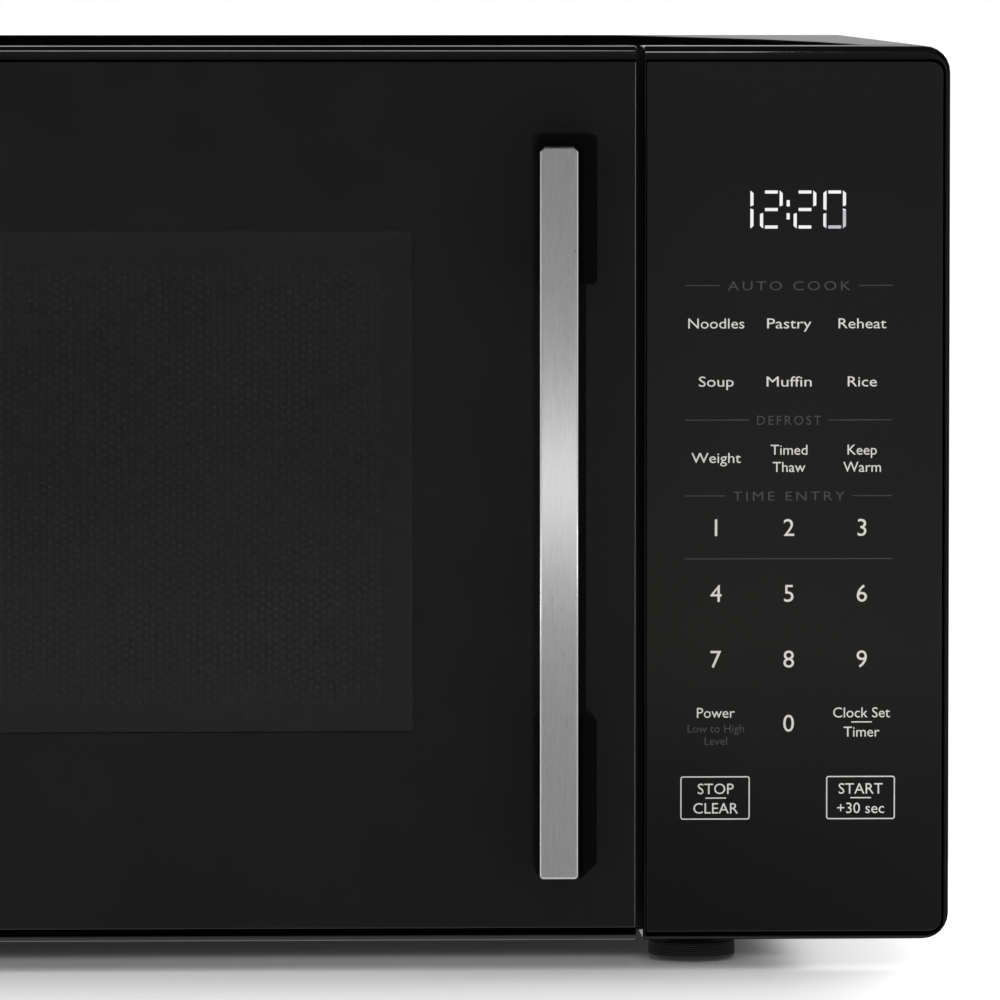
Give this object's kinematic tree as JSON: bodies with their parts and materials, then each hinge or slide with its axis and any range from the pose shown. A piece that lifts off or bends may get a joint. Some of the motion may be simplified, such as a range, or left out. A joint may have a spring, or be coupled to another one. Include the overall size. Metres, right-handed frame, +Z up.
{
  "type": "microwave oven",
  "caption": "Countertop microwave oven with a swinging glass door, bar handle, touch control panel, turntable, door latch, interlock switches and power parts inside.",
  "frame": {"origin": "on the surface the feet stand on, below the middle of the oven's box", "axes": "+X to the right of someone who faces the door, +Y to the back, +Z up"},
  "size_m": [0.613, 0.505, 0.3551],
  "materials": {
    "cabinet_paint": "semi-gloss black powder coat with a fine orange peel",
    "gloss_black": "high-gloss black moulding",
    "front_glass": "polished black-backed glass",
    "clear_glass": "clear pressed glass",
    "brushed_steel": "vertical brushed grain, polished edges",
    "black_plastic": "satin black moulding",
    "foot_rubber": "ribbed matt black",
    "zinc_steel": "zinc-plated sheet",
    "cavity_enamel": "light grey speckled enamel",
    "screen_steel": "black-coated perforated sheet",
    "mica": "pressed mica sheet",
    "natural_plastic": "uncoloured moulding",
    "copper_winding": "enamelled copper wire",
    "board_green": "green circuit board",
    "display": "smoked display window"
  },
  "bodies": {
    "root": {"outer_cabinet": "cabinet_paint", "base_plate": "zinc_steel", "rear_panel": "zinc_steel", "front_plate": "cabinet_paint", "oven_cavity": "cavity_enamel", "hinge_bracket_upper": "zinc_steel", "hinge_bracket_lower": "zinc_steel", "foot_front_left": "foot_rubber", "foot_front_right": "foot_rubber", "foot_rear_left": "foot_rubber", "foot_rear_right": "foot_rubber", "rear_spacer_left": "black_plastic", "rear_spacer_right": "black_plastic", "cord_gland": "black_plastic", "rear_screw_left": "zinc_steel", "rear_screw_right": "zinc_steel", "waveguide_cover": "mica", "waveguide": "zinc_steel", "magnetron": "zinc_steel", "cavity_lamp": "natural_plastic", "thermal_cutout": "black_plastic", "transformer_core": "zinc_steel", "transformer_coil": "copper_winding", "capacitor": "zinc_steel", "hv_diode": "black_plastic", "filter_board": "board_green", "fan_shroud": "black_plastic", "fan_motor": "zinc_steel", "turntable_motor": "zinc_steel", "interlock_bracket": "natural_plastic", "primary_switch": "black_plastic", "monitor_switch": "black_plastic", "sensing_switch": "black_plastic", "control_panel_frame": "gloss_black", "panel_glass": "front_glass", "touch_sheet": "natural_plastic", "display_module": "display", "control_board": "board_green"},
    "door": {"door_frame": "gloss_black", "door_glass": "front_glass", "door_choke_frame": "zinc_steel", "door_mesh_screen": "screen_steel", "door_inner_pane": "clear_glass", "door_choke_cover": "black_plastic", "door_hinge_plate_upper": "zinc_steel", "door_hinge_plate_lower": "zinc_steel", "handle_body": "black_plastic", "handle_trim": "brushed_steel"},
    "latch": {"latch_hook": "natural_plastic", "latch_spring": "zinc_steel"},
    "turntable": {"glass_tray": "clear_glass", "drive_coupler": "natural_plastic"},
    "roller_ring": {"roller_ring": "natural_plastic"},
    "roller_wheel_1": {"roller_wheel_1": "natural_plastic"},
    "roller_wheel_2": {"roller_wheel_2": "natural_plastic"},
    "roller_wheel_3": {"roller_wheel_3": "natural_plastic"},
    "fan": {"fan_blade": "natural_plastic"},
    "primary_plunger": {"primary_plunger": "natural_plastic"},
    "monitor_plunger": {"monitor_plunger": "natural_plastic"},
    "sensing_plunger": {"sensing_plunger": "natural_plastic"}
  },
  "joints": [
    {"name": "door_swing", "type": "hinge", "parent": "root", "child": "door", "pos_m": [-0.3005, -0.188, 0.1834], "axis": [0, 0, -1], "range_deg": [0, 100]},
    {"name": "latch_lift", "type": "slide", "parent": "door", "child": "latch", "axis": [0, 0, 1], "range_m": [0, 0.004], "stiffness_N_per_m": 300, "springref_m": -0.006, "deforming": ["latch_spring"]},
    {"name": "turntable_spin", "type": "hinge", "parent": "root", "child": "turntable", "pos_m": [-0.0615, 0.0245, 0.0606], "axis": [0, 0, 1], "continuous": true},
    {"name": "roller_ring_spin", "type": "hinge", "parent": "root", "child": "roller_ring", "pos_m": [-0.0615, 0.0245, 0.0523], "axis": [0, 0, 1], "continuous": true},
    {"name": "fan_spin", "type": "hinge", "parent": "root", "child": "fan", "pos_m": [0.232, 0.193, 0.25], "axis": [0, 1, 0], "continuous": true},
    {"name": "roller_wheel_1_spin", "type": "hinge", "parent": "roller_ring", "child": "roller_wheel_1", "pos_m": [0.03723, 0.0815, 0.0523], "axis": [0.866, 0.5, 0], "continuous": true},
    {"name": "roller_wheel_2_spin", "type": "hinge", "parent": "roller_ring", "child": "roller_wheel_2", "pos_m": [-0.16023, 0.0815, 0.0523], "axis": [-0.866, 0.5, 0], "continuous": true},
    {"name": "roller_wheel_3_spin", "type": "hinge", "parent": "roller_ring", "child": "roller_wheel_3", "pos_m": [-0.0615, -0.0895, 0.0523], "axis": [0, -1, 0], "continuous": true},
    {"name": "primary_plunger_press", "type": "slide", "parent": "root", "child": "primary_plunger", "axis": [0, 1, 0], "range_m": [0, 0.0015], "stiffness_N_per_m": 200, "springref_m": -0.003},
    {"name": "monitor_plunger_press", "type": "slide", "parent": "root", "child": "monitor_plunger", "axis": [0, 1, 0], "range_m": [0, 0.0015], "stiffness_N_per_m": 200, "springref_m": -0.003},
    {"name": "sensing_plunger_press", "type": "slide", "parent": "root", "child": "sensing_plunger", "axis": [0, 1, 0], "range_m": [0, 0.0015], "stiffness_N_per_m": 200, "springref_m": -0.003}
  ],
  "couplings": [
    {"joint": "roller_ring_spin", "follows": "turntable_spin", "ratio": 0.5},
    {"joint": "roller_wheel_1_spin", "follows": "turntable_spin", "ratio": -7.125},
    {"joint": "roller_wheel_2_spin", "follows": "turntable_spin", "ratio": -7.125},
    {"joint": "roller_wheel_3_spin", "follows": "turntable_spin", "ratio": -7.125}
  ]
}
